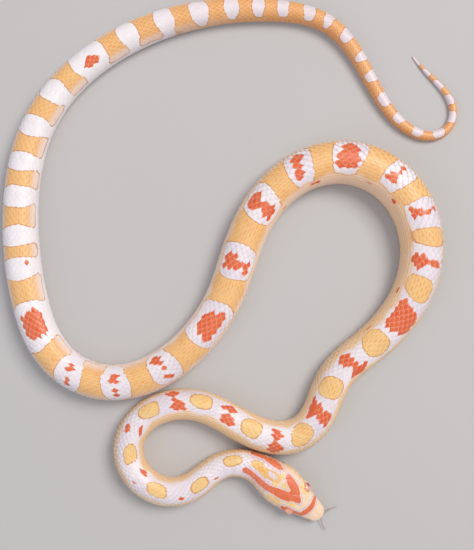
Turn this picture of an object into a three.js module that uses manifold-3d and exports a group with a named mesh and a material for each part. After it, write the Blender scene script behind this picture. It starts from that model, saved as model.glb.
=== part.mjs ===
// A life-size corn snake, as a still museum model, lying in loops on a floor at z = 0.
// Millimetres, +Z up. The spine is one curve seen from above. Everything is placed by its
// distance along that curve, with the tip of the snout at 1 mm and the tip of the tail at 620.
import * as THREE from 'three';
import { mergeVertices } from 'three/addons/utils/BufferGeometryUtils.js';
import Module from 'manifold-3d';

const wasm = await Module();
wasm.setup();

// Driving dimensions
const SNOUT_AT = [27.343, -76.497];
const SNOUT_HEADING = 141.6;
const SNOUT_FROM = 1;
const BODY_END = 620;
const NODE_GAP = 0.3;
const RING_SIDES = 16;

// How tightly the spine turns to its own right, in degrees per millimetre, at each distance
const BENDS = [
  [1, 0], [19, 0], [25, 3.45], [31, 4.4], [38, 4.8], [46, -3.3], [54, -4.92], [64, -4.02],
  [76, -5.13], [90, -3.05], [104, -2.65], [116, 0.6], [126, 2.7], [136, 5.55], [146, 1.65], [156, -3.35],
  [170, 0.85], [190, 1.65], [210, 2.05], [240, 2.5], [265, 1.8], [285, 0.8], [300, -1.1],
  [325, -1.2], [350, -2.55], [365, -2.45], [385, -0.6], [410, -0.5], [440, -1.25],
  [470, -0.8], [500, -0.65], [525, -0.6], [540, -2.95], [555, -0.8], [570, 1.2],
  [582, 3.35], [592, 8.75], [600, 7.1], [610, 0.7], [620, -2.4],
];

// Half the width of neck, body and tail at each distance
const HALF_WIDTHS = [
  [21, 5.75], [25, 4.8], [30, 4.3], [36, 4.05], [50, 4.4], [80, 4.75], [110, 4.85], [140, 5.3],
  [170, 5.6], [190, 6.15], [210, 6.65], [225, 6.8], [240, 6.7], [260, 6.3], [280, 5.95],
  [300, 5.8], [340, 5.55], [360, 5.4], [400, 5.4], [430, 5.05], [460, 4.7], [480, 4.5],
  [500, 4.0], [520, 3.4], [540, 2.85], [560, 2.3], [580, 1.8], [600, 1.3], [612, 0.85],
  [617, 0.55], [620, 0.3],
];
const HEIGHT_PER_HALF_WIDTH = 1.76;
const NECK_HEIGHTS = [[20, 7.6], [24, 7.75], [30, 7.55], [36, 7.35], [46, 7.75], [56, 12]];
const WIDEST_AT = 0.42;

// Where the neck, the lengths of the body and the lengths of the tail are parted
const NECK_FROM = 24;
const BODY_FROM = 54;
const BODY_PARTINGS = [82, 110, 146, 186, 222, 258, 300, 344, 384, 430, 476];
const VENT_AT = 524;
const TAIL_PARTINGS = [556, 584, 602];

// Belly scutes: pitch along the body and along the tail, step at each rear edge
const SCUTE_PITCH = 4.7;
const TAIL_SCUTE_PITCH = 3.1;
const SCUTE_STEP = 0.18;
const SCUTE_EDGE = 0.25;
const SCUTES_PER_REST = 4;

// Head: half width, crown height, chin height and height of the widest line at each distance
const HEAD_STATIONS = [
  [1, 0.95, 3.15, 2.1, 2.6], [1.3, 1.65, 3.6, 1.55, 2.6], [1.85, 2.25, 3.95, 1.0, 2.6],
  [2.6, 2.65, 4.25, 0.45, 2.6], [3.5, 2.95, 4.55, 0.15, 2.65], [4.5, 3.25, 4.9, 0, 2.7],
  [5.7, 3.6, 5.3, 0, 2.75], [7, 3.95, 5.7, 0, 2.8], [8.3, 4.3, 6.05, 0, 2.8],
  [9.5, 4.6, 6.35, 0, 2.85], [11, 5.05, 6.65, 0, 2.95], [13, 5.65, 7.0, 0, 3.05],
  [15, 6.05, 7.25, 0, 3.15], [17, 6.25, 7.45, 0, 3.2], [19, 6.15, 7.55, 0, 3.2],
  [21, 5.75, 7.65, 0, 3.2], [24, 5.05, 7.75, 0, 3.2],
];
const HEAD_SIDES = 24;
const HEAD_RINGS = 22;
const HEAD_RING_CROWDING = 1.15;
const FIRST_FULL_RING = 1.3;
const SNOUT_EDGE = 2.35;
const CHIN_PRESS = 1.12;

// Head shields, raised on the skin. On the crown each outline is along, side, and on the flank
// of the head it is along, height. All but the frontal are there on both sides.
const SHIELD_RISE = 0.12;
const FRONTAL = [
  [7.4, -1.4], [7.4, 1.4], [9.6, 1.2], [12, 1.05], [13.1, 0], [12, -1.05], [9.6, -1.2],
];
const CROWN_SHIELDS = {
  internasal: [[1.8, 0.1], [1.8, 0.85], [2.6, 1.35], [3.6, 1.6], [3.6, 0.1]],
  prefrontal: [[3.8, 0.1], [3.8, 1.6], [4.9, 2.1], [6.9, 2.6], [7.2, 1.5], [7.2, 0.1]],
  supraocular: [[7.4, 1.6], [7.1, 2.7], [8.8, 3.4], [11, 3.8], [12.6, 3.5], [12.2, 1.3], [9.6, 1.4]],
  parietal: [
    [13.35, 0.12], [12.45, 1.1], [12.8, 3.6], [14.2, 4.1], [16, 3.9], [17.7, 2.8], [18.5, 1.3], [18.4, 0.12],
  ],
};
const FLANK_SHIELDS = {
  nasal: [[1.9, 2.95], [1.9, 3.7], [3.5, 4.1], [3.5, 2.95]],
  loreal: [[3.7, 2.95], [3.7, 4.0], [6.9, 4.6], [6.9, 2.95]],
  preocular: [[7.1, 2.9], [7.1, 4.7], [8.3, 4.95], [8.5, 2.8]],
  postocularLow: [[12.6, 2.95], [12.7, 4.2], [13.9, 4.3], [13.8, 3.1]],
  postocularHigh: [[12.7, 4.4], [12.7, 5.6], [13.9, 5.8], [13.9, 4.5]],
  temporalLow: [[14.1, 3.2], [14.1, 4.5], [16, 4.7], [15.8, 3.6]],
  temporalHigh: [[14.1, 4.7], [14.1, 5.9], [16.1, 6.1], [16.1, 4.9]],
  rearTemporalLow: [[16.2, 3.7], [16.3, 4.8], [17.9, 4.85], [17.9, 3.75]],
  rearTemporalHigh: [[16.3, 5.0], [16.3, 6.1], [18.1, 6.15], [18.1, 5.05]],
};
const LABIAL_EDGES = [1.7, 3.1, 4.7, 6.4, 8.2, 10.1, 12.1, 14.1, 16.0];
const UPPER_LIP_TOP = [[1.7, 2.75], [7, 2.75], [9, 2.35], [12.2, 2.4], [13.7, 2.9], [16, 3.45]];
const LOWER_LIP_FOOT = [[1.7, 0.95], [4, 0.75], [16, 0.85]];
const SHIELD_GAP = 0.1;
const CROWN_PRISM = { from: 3.5, tall: 6 };
const FLANK_PRISM_WIDTH = 16;

// Mouth: height of its line at each distance, up to the corner behind the eye
const MOUTH_LINE = [[0, 1.8], [2, 1.8], [4.5, 1.8], [9.5, 1.6], [12.2, 1.6], [14.3, 1.9], [16.2, 2.7]];
const TONGUE_NOTCH = { along: 1.4, side: 0.1, height: 1.72, size: [1.5, 0.75, 0.66] };
const THROAT_CUT = [[16.9, 2.6], [17.8, 1.2], [18.6, -1]];
const MOUTH_GAP = 0.32;

// Eyes, each a ball behind one clear scale, in a socket under the brow
const EYE_AT = { along: 10.6, side: 4.0, height: 4.3 };
const EYE_RADIUS = 1.65;
const SOCKET_CLEARANCE = 0.3;
const EYE_RING = { tube: 0.28, outwards: 0.55, tilt: 14, sides: 8, steps: 24 };
const BROW = { along: 10.3, side: 3.5, height: 5.55, size: [2.6, 1.1, 0.5], slope: 20 };

// Nostrils, one in each side of the snout
const NOSTRIL = { along: 2.6, side: 2.5, height: 3.4, size: [0.38, 0.45, 0.28] };
const BALL_SEGMENTS = [16, 10];
const SMALL_BALL_SEGMENTS = [10, 6];

// Tongue: a flat stem that forks under the snout. Places are ahead, to the left and up
const TONGUE_STEM = [[-1.2, 0.1, 1.72], [0.05, 0.15, 1.6]];
const TONGUE_LEFT = [[0, 0.15, 1.6], [0.35, 1.2, 1.5], [1.05, 3.2, 1.3], [2.3, 5.0, 0.95]];
const TONGUE_RIGHT = [[0, 0.15, 1.6], [0.5, -0.75, 1.5], [1.9, -1.8, 1.25], [3.95, -2.75, 0.9]];
const TONGUE_WIDTH = 0.62;
const TONGUE_TIP = 0.24;
const TONGUE_SIDES = 8;

// The spine: its heading and place are summed up from the bends in small steps
const SPINE_STEP = 0.25;

function along(table, distance, column = 1) {
  const last = table.length - 1;
  if (distance <= table[0][0]) return table[0][column];
  if (distance >= table[last][0]) return table[last][column];
  const next = table.findIndex((row) => row[0] > distance);
  const share = (distance - table[next - 1][0]) / (table[next][0] - table[next - 1][0]);
  return THREE.MathUtils.lerp(table[next - 1][column], table[next][column], share);
}

const SMOOTHING_REACH = 2.5;

function smoothAlong(table, distance, column = 1) {
  const samples = [-1, -0.5, 0, 0.5, 1].map((share) => distance + share * SMOOTHING_REACH);
  const sum = samples.reduce((total, at) => total + along(table, at, column), 0);
  return sum / samples.length;
}

const spine = [];
let heading = SNOUT_HEADING;
let place = new THREE.Vector2(...SNOUT_AT);
for (let at = SNOUT_FROM; at <= BODY_END; at += SPINE_STEP) {
  spine.push({ at, heading, place: place.clone() });
  const turn = along(BENDS, at + SPINE_STEP / 2) * SPINE_STEP;
  const middle = THREE.MathUtils.degToRad(heading + turn / 2);
  place.add(new THREE.Vector2(Math.cos(middle), Math.sin(middle)).multiplyScalar(SPINE_STEP));
  heading += turn;
}

// A frame on the spine: tailward is along it, left is the snake's own left, up is +Z
function spineFrame(distance) {
  const inside = THREE.MathUtils.clamp(distance, SNOUT_FROM, BODY_END);
  const before = spine[Math.min(Math.floor((inside - SNOUT_FROM) / SPINE_STEP), spine.length - 1)];
  const rest = distance - before.at;
  const turned = before.heading + along(BENDS, before.at) * (inside - before.at);
  const angle = THREE.MathUtils.degToRad(turned);
  const tailward = new THREE.Vector2(Math.cos(angle), Math.sin(angle));
  const left = new THREE.Vector2(tailward.y, -tailward.x);
  return { origin: before.place.clone().addScaledVector(tailward, rest), tailward, left };
}

function onSpine(distance, side, height) {
  const frame = spineFrame(distance);
  const flat = frame.origin.clone().addScaledVector(frame.left, side);
  return new THREE.Vector3(flat.x, flat.y, height);
}

// A closed loft: a cylinder whose rings are laid on the sections at the given distances
function loft(distances, sides, sectionPoint) {
  const rings = distances.length - 1;
  const geometry = new THREE.CylinderGeometry(1, 1, 1, sides, rings);
  const spots = geometry.attributes.position;
  for (let i = 0; i < spots.count; i++) {
    const ring = Math.round((spots.getY(i) + 0.5) * rings);
    const radius = Math.hypot(spots.getX(i), spots.getZ(i));
    const angle = Math.atan2(spots.getX(i), spots.getZ(i));
    const edge = sectionPoint(distances[ring], angle, ring);
    const middle = sectionPoint(distances[ring], 0, ring).height / 2;
    const side = radius < 0.5 ? 0 : edge.side;
    const height = radius < 0.5 ? middle : edge.height;
    const spot = onSpine(distances[ring], side, height);
    spots.setXYZ(i, spot.x, spot.y, spot.z);
  }
  geometry.deleteAttribute('normal');
  geometry.deleteAttribute('uv');
  return mergeVertices(geometry, 1e-4);
}

// The loaf of a body section: rounded back, upright flanks, belly pressed flat on the floor
const FLANK_POWER = 0.92;
const BELLY_POWER = 0.6;
const BELLY_PRESS = 1.25;
const SCUTE_INSET = 0.02;

function bodySection(distance, angle, lift) {
  const halfWidth = smoothAlong(HALF_WIDTHS, distance);
  const height = Math.min(halfWidth * HEIGHT_PER_HALF_WIDTH, smoothAlong(NECK_HEIGHTS, distance));
  const widest = height * WIDEST_AT;
  const up = Math.cos(angle);
  const side = halfWidth * Math.sign(Math.sin(angle)) * Math.abs(Math.sin(angle)) ** FLANK_POWER;
  if (up >= 0) return { side, height: widest + (height - widest) * up };
  const press = Math.min(1, BELLY_PRESS * Math.abs(up) ** BELLY_POWER);
  const inset = lift > 0 ? 1 - SCUTE_INSET * press : 1;
  return { side: side * inset, height: widest * (1 - press) + lift * press };
}

// Distances of the scute edges in a length, and which rings stand at a free rear edge
function scuteRings(from, to, pitch) {
  const count = Math.max(1, Math.round((to - from) / pitch));
  const step = (to - from) / count;
  const rings = [{ at: from, lift: 0 }];
  for (let i = 1; i < count; i++) {
    const pressed = i % SCUTES_PER_REST === 0;
    rings.push({ at: from + i * step, lift: 0 });
    rings.push({ at: from + i * step + SCUTE_EDGE, lift: pressed ? 0 : SCUTE_STEP });
  }
  rings.push({ at: to, lift: 0 });
  return rings;
}

function bodyLength(from, to, pitch) {
  const rings = scuteRings(from + NODE_GAP / 2, to - NODE_GAP / 2, pitch);
  const distances = rings.map((ring) => ring.at);
  return loft(distances, RING_SIDES, (distance, angle, ring) => {
    const size = Math.min(1, smoothAlong(HALF_WIDTHS, distance) / 3);
    return bodySection(distance, angle, rings[ring].lift * size);
  });
}

// Solids are joined and cut as manifolds, then turned back into plain geometry
function solid(geometry) {
  const bare = geometry.clone();
  bare.deleteAttribute('normal');
  bare.deleteAttribute('uv');
  const merged = mergeVertices(bare, 1e-4);
  const vertProperties = new Float32Array(merged.attributes.position.array);
  const triVerts = new Uint32Array(merged.index.array);
  return new wasm.Manifold(new wasm.Mesh({ numProp: 3, vertProperties, triVerts }));
}

function plain(manifold) {
  const mesh = manifold.getMesh();
  const geometry = new THREE.BufferGeometry();
  geometry.setAttribute('position', new THREE.BufferAttribute(mesh.vertProperties, 3));
  geometry.setIndex(new THREE.BufferAttribute(mesh.triVerts, 1));
  return geometry;
}

function largestFirst(manifold) {
  return manifold.decompose().sort((a, b) => b.volume() - a.volume());
}

// The head frame turns a shape drawn as tailward, left, up into its place at the snout
function headMatrix(distance, side, height) {
  const frame = spineFrame(distance);
  const left = new THREE.Vector3(frame.left.x, frame.left.y, 0);
  const tailward = new THREE.Vector3(frame.tailward.x, frame.tailward.y, 0);
  const matrix = new THREE.Matrix4().makeBasis(left, tailward, new THREE.Vector3(0, 0, 1));
  return matrix.setPosition(onSpine(distance, side, height));
}

// A ball squashed to a length, width and height, tipped outwards by a slope
function headBall(spot, size, side, slope = 0, segments = BALL_SEGMENTS) {
  const ball = new THREE.SphereGeometry(1, ...segments);
  ball.rotateZ(Math.PI / 2);
  ball.scale(size[1], size[0], size[2]);
  ball.rotateY(THREE.MathUtils.degToRad(slope * side));
  return ball.applyMatrix4(headMatrix(spot.along, spot.side * side, spot.height));
}

// The head's section, swollen evenly by a little where the shields need it
function headSection(distance, angle, swell = 0) {
  const column = (index) => along(HEAD_STATIONS, distance, index);
  const halfWidth = column(1) + swell;
  const widest = column(4);
  const crown = column(2) + swell;
  const up = Math.cos(angle);
  const edge = 2 / SNOUT_EDGE;
  const side = halfWidth * Math.sign(Math.sin(angle)) * Math.abs(Math.sin(angle)) ** edge;
  const share = Math.abs(up) ** edge;
  const press = Math.min(1, CHIN_PRESS * share);
  const height = up >= 0 ? widest + (crown - widest) * share : widest - (widest - column(3)) * press;
  return { side, height };
}

function headBlock(swell) {
  const length = NECK_FROM - NODE_GAP / 2 - FIRST_FULL_RING;
  const distances = [SNOUT_FROM, FIRST_FULL_RING];
  for (let i = 1; i <= HEAD_RINGS; i++) {
    distances.push(FIRST_FULL_RING + length * (i / HEAD_RINGS) ** HEAD_RING_CROWDING);
  }
  return solid(loft(distances, HEAD_SIDES, (distance, angle) => headSection(distance, angle, swell)));
}

// A prism over an outline on the crown, standing upright, on one side or the other
function crownPrism(outline, side) {
  const shape = new THREE.Shape(outline.map(([x, y]) => new THREE.Vector2(y * side, x)));
  const prism = new THREE.ExtrudeGeometry(shape, { depth: CROWN_PRISM.tall, bevelEnabled: false });
  return solid(prism.translate(0, 0, CROWN_PRISM.from).applyMatrix4(headMatrix(0, 0, 0)));
}

// A prism over an outline on the flank, running right across the head
function flankPrism(outline) {
  const width = FLANK_PRISM_WIDTH;
  const shape = new THREE.Shape(outline.map(([x, y]) => new THREE.Vector2(x, y)));
  const prism = new THREE.ExtrudeGeometry(shape, { depth: width, bevelEnabled: false });
  const sideways = new THREE.Matrix4().makeBasis(
    new THREE.Vector3(0, 1, 0), new THREE.Vector3(0, 0, 1), new THREE.Vector3(1, 0, 0));
  prism.translate(0, 0, -width / 2).applyMatrix4(sideways);
  return solid(prism.applyMatrix4(headMatrix(0, 0, 0)));
}

// The lip scales between two edges, above or below the line of the mouth
function labialOutlines() {
  const outlines = [];
  for (let i = 1; i < LABIAL_EDGES.length; i++) {
    const front = LABIAL_EDGES[i - 1] + SHIELD_GAP;
    const back = LABIAL_EDGES[i] - SHIELD_GAP;
    for (const table of [UPPER_LIP_TOP, LOWER_LIP_FOOT]) {
      outlines.push([
        [front, along(MOUTH_LINE, front)], [front, along(table, front)],
        [back, along(table, back)], [back, along(MOUTH_LINE, back)],
      ]);
    }
  }
  return outlines;
}

// All the shields as one solid: the swollen head where a prism stands
function headShields() {
  let prisms = crownPrism(FRONTAL, 1);
  for (const outline of Object.values(CROWN_SHIELDS)) {
    prisms = prisms.add(crownPrism(outline, 1)).add(crownPrism(outline, -1));
  }
  for (const outline of [...Object.values(FLANK_SHIELDS), ...labialOutlines()]) {
    prisms = prisms.add(flankPrism(outline));
  }
  return headBlock(SHIELD_RISE).intersect(prisms);
}

// A bent strip as wide as the head: the mouth line from the snout to its corner, then down
function mouthStrip() {
  const line = [...MOUTH_LINE, ...THROAT_CUT].map(([x, y]) => new THREE.Vector2(x, y));
  const upper = [];
  const lower = [];
  line.forEach((point, i) => {
    const ahead = line[Math.min(i + 1, line.length - 1)].clone().sub(line[Math.max(i - 1, 0)]);
    const across = new THREE.Vector2(-ahead.y, ahead.x).setLength(MOUTH_GAP / 2);
    upper.push(point.clone().add(across));
    lower.unshift(point.clone().sub(across));
  });
  return flankPrism([...upper, ...lower].map((point) => [point.x, point.y]));
}

// A ring of small scales round each eye
function eyeRing(side) {
  const { tube, outwards, tilt, sides, steps } = EYE_RING;
  const ring = new THREE.TorusGeometry(EYE_RADIUS + SOCKET_CLEARANCE, tube, sides, steps);
  ring.rotateY(Math.PI / 2).rotateY(THREE.MathUtils.degToRad(-tilt * side));
  return ring.applyMatrix4(headMatrix(EYE_AT.along, (EYE_AT.side + outwards) * side, EYE_AT.height));
}

function headSolids() {
  let head = headBlock(0).add(headShields());
  for (const side of [-1, 1]) {
    head = head.add(solid(headBall(BROW, BROW.size, side, BROW.slope)));
    head = head.add(solid(eyeRing(side)));
    const socket = EYE_RADIUS + SOCKET_CLEARANCE;
    head = head.subtract(solid(headBall(EYE_AT, [socket, socket, socket], side)));
    head = head.subtract(solid(headBall(NOSTRIL, NOSTRIL.size, side, 0, SMALL_BALL_SEGMENTS)));
  }
  head = head.subtract(solid(headBall(TONGUE_NOTCH, TONGUE_NOTCH.size, 1)));
  return largestFirst(head.subtract(mouthStrip())).slice(0, 2).map(plain);
}

function eye(side) {
  return headBall(EYE_AT, [EYE_RADIUS, EYE_RADIUS, EYE_RADIUS], side);
}

// One tapering arm of the tongue, swept along its points
function tongueArm(points, fromWidth, toWidth) {
  const toPlace = ([ahead, left, up]) => onSpine(SNOUT_FROM - ahead, left, up);
  const curve = new THREE.CatmullRomCurve3(points.map(toPlace));
  const rings = 3 * (points.length - 1);
  const arm = new THREE.CylinderGeometry(1, 1, 1, TONGUE_SIDES, rings);
  const spots = arm.attributes.position;
  const upward = new THREE.Vector3(0, 0, 1);
  for (let i = 0; i < spots.count; i++) {
    const share = spots.getY(i) + 0.5;
    const forward = curve.getTangent(share).normalize();
    const right = new THREE.Vector3().crossVectors(forward, upward).normalize();
    const above = new THREE.Vector3().crossVectors(right, forward);
    const radius = THREE.MathUtils.lerp(fromWidth, toWidth, share) / 2;
    const spot = curve.getPoint(share);
    spot.addScaledVector(right, spots.getX(i) * radius).addScaledVector(above, spots.getZ(i) * radius);
    spots.setXYZ(i, spot.x, spot.y, spot.z);
  }
  return solid(arm);
}

function tongue() {
  const stem = tongueArm(TONGUE_STEM, TONGUE_WIDTH, TONGUE_WIDTH);
  const left = tongueArm(TONGUE_LEFT, TONGUE_WIDTH, TONGUE_TIP);
  const right = tongueArm(TONGUE_RIGHT, TONGUE_WIDTH, TONGUE_TIP);
  return plain(largestFirst(stem.add(left).add(right))[0]);
}

// Finishes: pale ground with orange, seen as one mean colour for each part
const SKIN = { color: 0xefc79c, roughness: 0.55, metalness: 0 };
const HEAD_SKIN = { color: 0xf0a877, roughness: 0.5, metalness: 0 };
const TAIL_SKIN = { color: 0xeeb98c, roughness: 0.55, metalness: 0 };
const EYE_GLOSS = { color: 0xb8404a, roughness: 0.08, metalness: 0 };
const TONGUE_SKIN = { color: 0xd9b3b0, roughness: 0.4, metalness: 0 };

const group = new THREE.Group();

function addPart(name, geometry, finish) {
  const mesh = new THREE.Mesh(geometry, new THREE.MeshStandardMaterial(finish));
  mesh.name = name;
  group.add(mesh);
}

const [upperHead, lowerJaw] = headSolids();
addPart('head', upperHead, HEAD_SKIN);
addPart('lower_jaw', lowerJaw, HEAD_SKIN);
addPart('eye_left', eye(1), EYE_GLOSS);
addPart('eye_right', eye(-1), EYE_GLOSS);
addPart('tongue', tongue(), TONGUE_SKIN);
addPart('neck', bodyLength(NECK_FROM, BODY_FROM, SCUTE_PITCH), SKIN);

const bodyEdges = [BODY_FROM, ...BODY_PARTINGS, VENT_AT];
for (let i = 1; i < bodyEdges.length; i++) {
  addPart(`body_${i}`, bodyLength(bodyEdges[i - 1], bodyEdges[i], SCUTE_PITCH), SKIN);
}

const tailEdges = [VENT_AT, ...TAIL_PARTINGS, BODY_END];
for (let i = 1; i < tailEdges.length; i++) {
  addPart(`tail_${i}`, bodyLength(tailEdges[i - 1], tailEdges[i], TAIL_SCUTE_PITCH), TAIL_SKIN);
}

export default group;
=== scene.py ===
from functools import partial
import math

import bpy
import numpy as np
from mathutils import Matrix


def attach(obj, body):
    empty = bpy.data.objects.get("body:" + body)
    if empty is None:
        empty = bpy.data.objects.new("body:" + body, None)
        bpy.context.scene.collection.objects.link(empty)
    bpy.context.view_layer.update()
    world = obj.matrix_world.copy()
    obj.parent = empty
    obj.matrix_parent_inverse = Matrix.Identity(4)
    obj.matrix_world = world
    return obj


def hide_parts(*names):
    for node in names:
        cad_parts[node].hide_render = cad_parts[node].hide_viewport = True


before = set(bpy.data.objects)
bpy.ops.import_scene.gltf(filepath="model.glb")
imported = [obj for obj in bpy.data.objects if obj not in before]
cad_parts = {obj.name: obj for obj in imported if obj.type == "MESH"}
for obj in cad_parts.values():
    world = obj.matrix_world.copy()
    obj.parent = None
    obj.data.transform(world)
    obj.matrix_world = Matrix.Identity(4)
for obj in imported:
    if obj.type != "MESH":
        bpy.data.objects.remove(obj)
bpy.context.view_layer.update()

# The view and its light
# The snake lies on a pale matt floor and is seen from straight above, as if photographed by hand
# over it. A broad soft light stands to the upper right and a weak one fills from the lower left.
MM = 0.001
CAMERA_AT = (1.674, -3.017, 246.0)
SENSOR_WIDTH = 36
LENS_TO_FRAME = 800 / 550
NEAR_CLIP = 0.01
FLOOR_HALF = 900
FLOOR_GREY = "#C4C3C4"
# Lights: place in metres, side in metres, watts, colour
WINDOW_LIGHT = ((0.55, 0.42, 0.95), 0.55, 9.5, "#FFFBF4")
FILL_LIGHT = ((-0.7, -0.5, 0.8), 0.9, 2.5, "#F2F4FF")
ROOM_COLOUR, ROOM_STRENGTH = "#F4F2F4", 0.45


def linear(colour):
    """The linear value of an sRGB hex colour, with alpha 1."""
    parts = [int(colour[i : i + 2], 16) / 255 for i in (1, 3, 5)]
    return [c / 12.92 if c <= 0.04045 else ((c + 0.055) / 1.055) ** 2.4 for c in parts] + [1.0]


def add_node(tree, kind, inputs=None, **settings):
    """Adds a node, sets its properties, and sets or links its inputs by name or number."""
    node = tree.nodes.new(kind)
    for name, value in settings.items():
        setattr(node, name, value)
    for name, value in (inputs or {}).items():
        socket = node.inputs[name]
        if isinstance(value, bpy.types.NodeSocket):
            tree.links.new(value, socket)
        else:
            socket.default_value = value
    return node


def new_material(name):
    material = bpy.data.materials.new(name)
    material.use_nodes = True
    material.node_tree.nodes.clear()
    return material


def finish_surface(tree, inputs):
    """Ends a material in one shader with these inputs."""
    shader = add_node(tree, "ShaderNodeBsdfPrincipled", inputs)
    add_node(tree, "ShaderNodeOutputMaterial", {"Surface": shader.outputs[0]})


def add_mesh(name, points, faces, material):
    """A mesh object at the origin, from points in millimetres, shaded smooth."""
    mesh = bpy.data.meshes.new(name)
    mesh.from_pydata((np.asarray(points) * MM).tolist(), [], faces)
    mesh.shade_smooth()
    mesh.materials.append(material)
    piece = bpy.data.objects.new(name, mesh)
    bpy.context.scene.collection.objects.link(piece)
    return piece


scene = bpy.context.scene
scene.view_settings.view_transform = "Standard"

camera_data = bpy.data.cameras.new("camera_from_above")
camera_data.sensor_width = SENSOR_WIDTH
camera_data.lens = SENSOR_WIDTH * LENS_TO_FRAME
camera_data.clip_start = NEAR_CLIP
camera = bpy.data.objects.new("camera_from_above", camera_data)
camera.location = [value * MM for value in CAMERA_AT]
scene.collection.objects.link(camera)
scene.camera = camera

floor_paint = new_material("matt_pale_floor_paint")
finish_surface(floor_paint.node_tree, {"Base Color": linear(FLOOR_GREY), "Roughness": 0.9})
floor_corners = np.array([(-1, -1, 0), (1, -1, 0), (1, 1, 0), (-1, 1, 0)]) * FLOOR_HALF
floor = add_mesh("floor", floor_corners, [(0, 1, 2, 3)], floor_paint)


def soft_light(name, place, size, watts, colour):
    """A square area light that looks at the middle of the coil."""
    lamp = bpy.data.lights.new(name, "AREA")
    lamp.size = size
    lamp.energy = watts
    lamp.color = linear(colour)[:3]
    holder = bpy.data.objects.new(name, lamp)
    holder.location = place
    direction = -holder.location.normalized()
    holder.rotation_euler = direction.to_track_quat("-Z", "Y").to_euler()
    scene.collection.objects.link(holder)


soft_light("window_light", *WINDOW_LIGHT)
soft_light("fill_light", *FILL_LIGHT)
world = bpy.data.worlds.new("studio")
world.use_nodes = True
room = world.node_tree.nodes["Background"]
room.inputs["Color"].default_value = linear(ROOM_COLOUR)
room.inputs["Strength"].default_value = ROOM_STRENGTH
scene.world = world

# The shape of the whole animal
# A snake is one long tube of muscle. It bends freely from side to side, its belly is pressed flat
# where it lies, and its head is wider than its neck. All places on it are given by a distance
# along the spine in millimetres, with the snout at 1, and an angle round it from the back's middle.
SNOUT_AT = (27.343, -76.497)
SNOUT_HEADING = 141.6
SNOUT_FROM = 1
BODY_END = 620
VENT_AT = 524
BENDS = np.array([
    (1, 0), (19, 0), (25, 3.45), (31, 4.4), (38, 4.8), (46, -3.3), (54, -4.92), (64, -4.02),
    (76, -5.13), (90, -3.05), (104, -2.65), (116, 0.6), (126, 2.7), (136, 5.55), (146, 1.65),
    (156, -3.35), (170, 0.85), (190, 1.65), (210, 2.05), (240, 2.5), (265, 1.8), (285, 0.8),
    (300, -1.1), (325, -1.2), (350, -2.55), (365, -2.45), (385, -0.6), (410, -0.5), (440, -1.25),
    (470, -0.8), (500, -0.65), (525, -0.6), (540, -2.95), (555, -0.8), (570, 1.2), (582, 3.35),
    (592, 8.75), (600, 7.1), (610, 0.7), (620, -2.4),
])
HALF_WIDTHS = np.array([
    (21, 5.75), (25, 4.8), (30, 4.3), (36, 4.05), (50, 4.4), (80, 4.75), (110, 4.85), (140, 5.3),
    (170, 5.6), (190, 6.15), (210, 6.65), (225, 6.8), (240, 6.7), (260, 6.3), (280, 5.95),
    (300, 5.8), (340, 5.55), (360, 5.4), (400, 5.4), (430, 5.05), (460, 4.7), (480, 4.5),
    (500, 4.0), (520, 3.4), (540, 2.85), (560, 2.3), (580, 1.8), (600, 1.3), (612, 0.85),
    (617, 0.55), (620, 0.3),
])
HEIGHT_PER_HALF_WIDTH = 1.76
NECK_HEIGHTS = np.array([(20, 7.6), (24, 7.75), (30, 7.55), (36, 7.35), (46, 7.75), (56, 12)])
WIDEST_AT = 0.42
FLANK_POWER = 0.92
BELLY_POWER = 0.6
BELLY_PRESS = 1.25
HEAD_STATIONS = np.array([
    (1, 0.95, 3.15, 2.1, 2.6), (1.3, 1.65, 3.6, 1.55, 2.6), (1.85, 2.25, 3.95, 1.0, 2.6),
    (2.6, 2.65, 4.25, 0.45, 2.6), (3.5, 2.95, 4.55, 0.15, 2.65), (4.5, 3.25, 4.9, 0, 2.7),
    (5.7, 3.6, 5.3, 0, 2.75), (7, 3.95, 5.7, 0, 2.8), (8.3, 4.3, 6.05, 0, 2.8),
    (9.5, 4.6, 6.35, 0, 2.85), (11, 5.05, 6.65, 0, 2.95), (13, 5.65, 7.0, 0, 3.05),
    (15, 6.05, 7.25, 0, 3.15), (17, 6.25, 7.45, 0, 3.2), (19, 6.15, 7.55, 0, 3.2),
    (21, 5.75, 7.65, 0, 3.2), (24, 5.05, 7.75, 0, 3.2),
])
HEAD_ROUNDNESS = 2 / 2.35
HEAD_PRESS = 1.12
HEAD_TO_NECK = (22, 26)
SPINE_STEP = 0.25
SMOOTHING_TAPS = (-2.5, -1.25, 0, 1.25, 2.5)
LEAST_HALF = 0.05


def along(table, distance, column=1):
    return np.interp(distance, table[:, 0], table[:, column])


def smooth_along(table, distance, column=1):
    taps = [along(table, np.asarray(distance) + shift, column) for shift in SMOOTHING_TAPS]
    return sum(taps) / len(taps)


def ease(value, low, high):
    """A smooth step from 0 at low to 1 at high."""
    share = np.clip((np.asarray(value, float) - low) / (high - low), 0, 1)
    return share * share * (3 - 2 * share)


def unit(vectors):
    return vectors / np.linalg.norm(vectors, axis=-1, keepdims=True)


spine_at = np.arange(SNOUT_FROM, BODY_END + SPINE_STEP, SPINE_STEP)
turns = along(BENDS, spine_at[:-1] + SPINE_STEP / 2) * SPINE_STEP
spine_heading = SNOUT_HEADING + np.append(0, np.cumsum(turns))
middle_heading = np.radians(spine_heading[:-1] + turns / 2)
spine_x = SNOUT_AT[0] + np.append(0, np.cumsum(np.cos(middle_heading))) * SPINE_STEP
spine_y = SNOUT_AT[1] + np.append(0, np.cumsum(np.sin(middle_heading))) * SPINE_STEP


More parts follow.
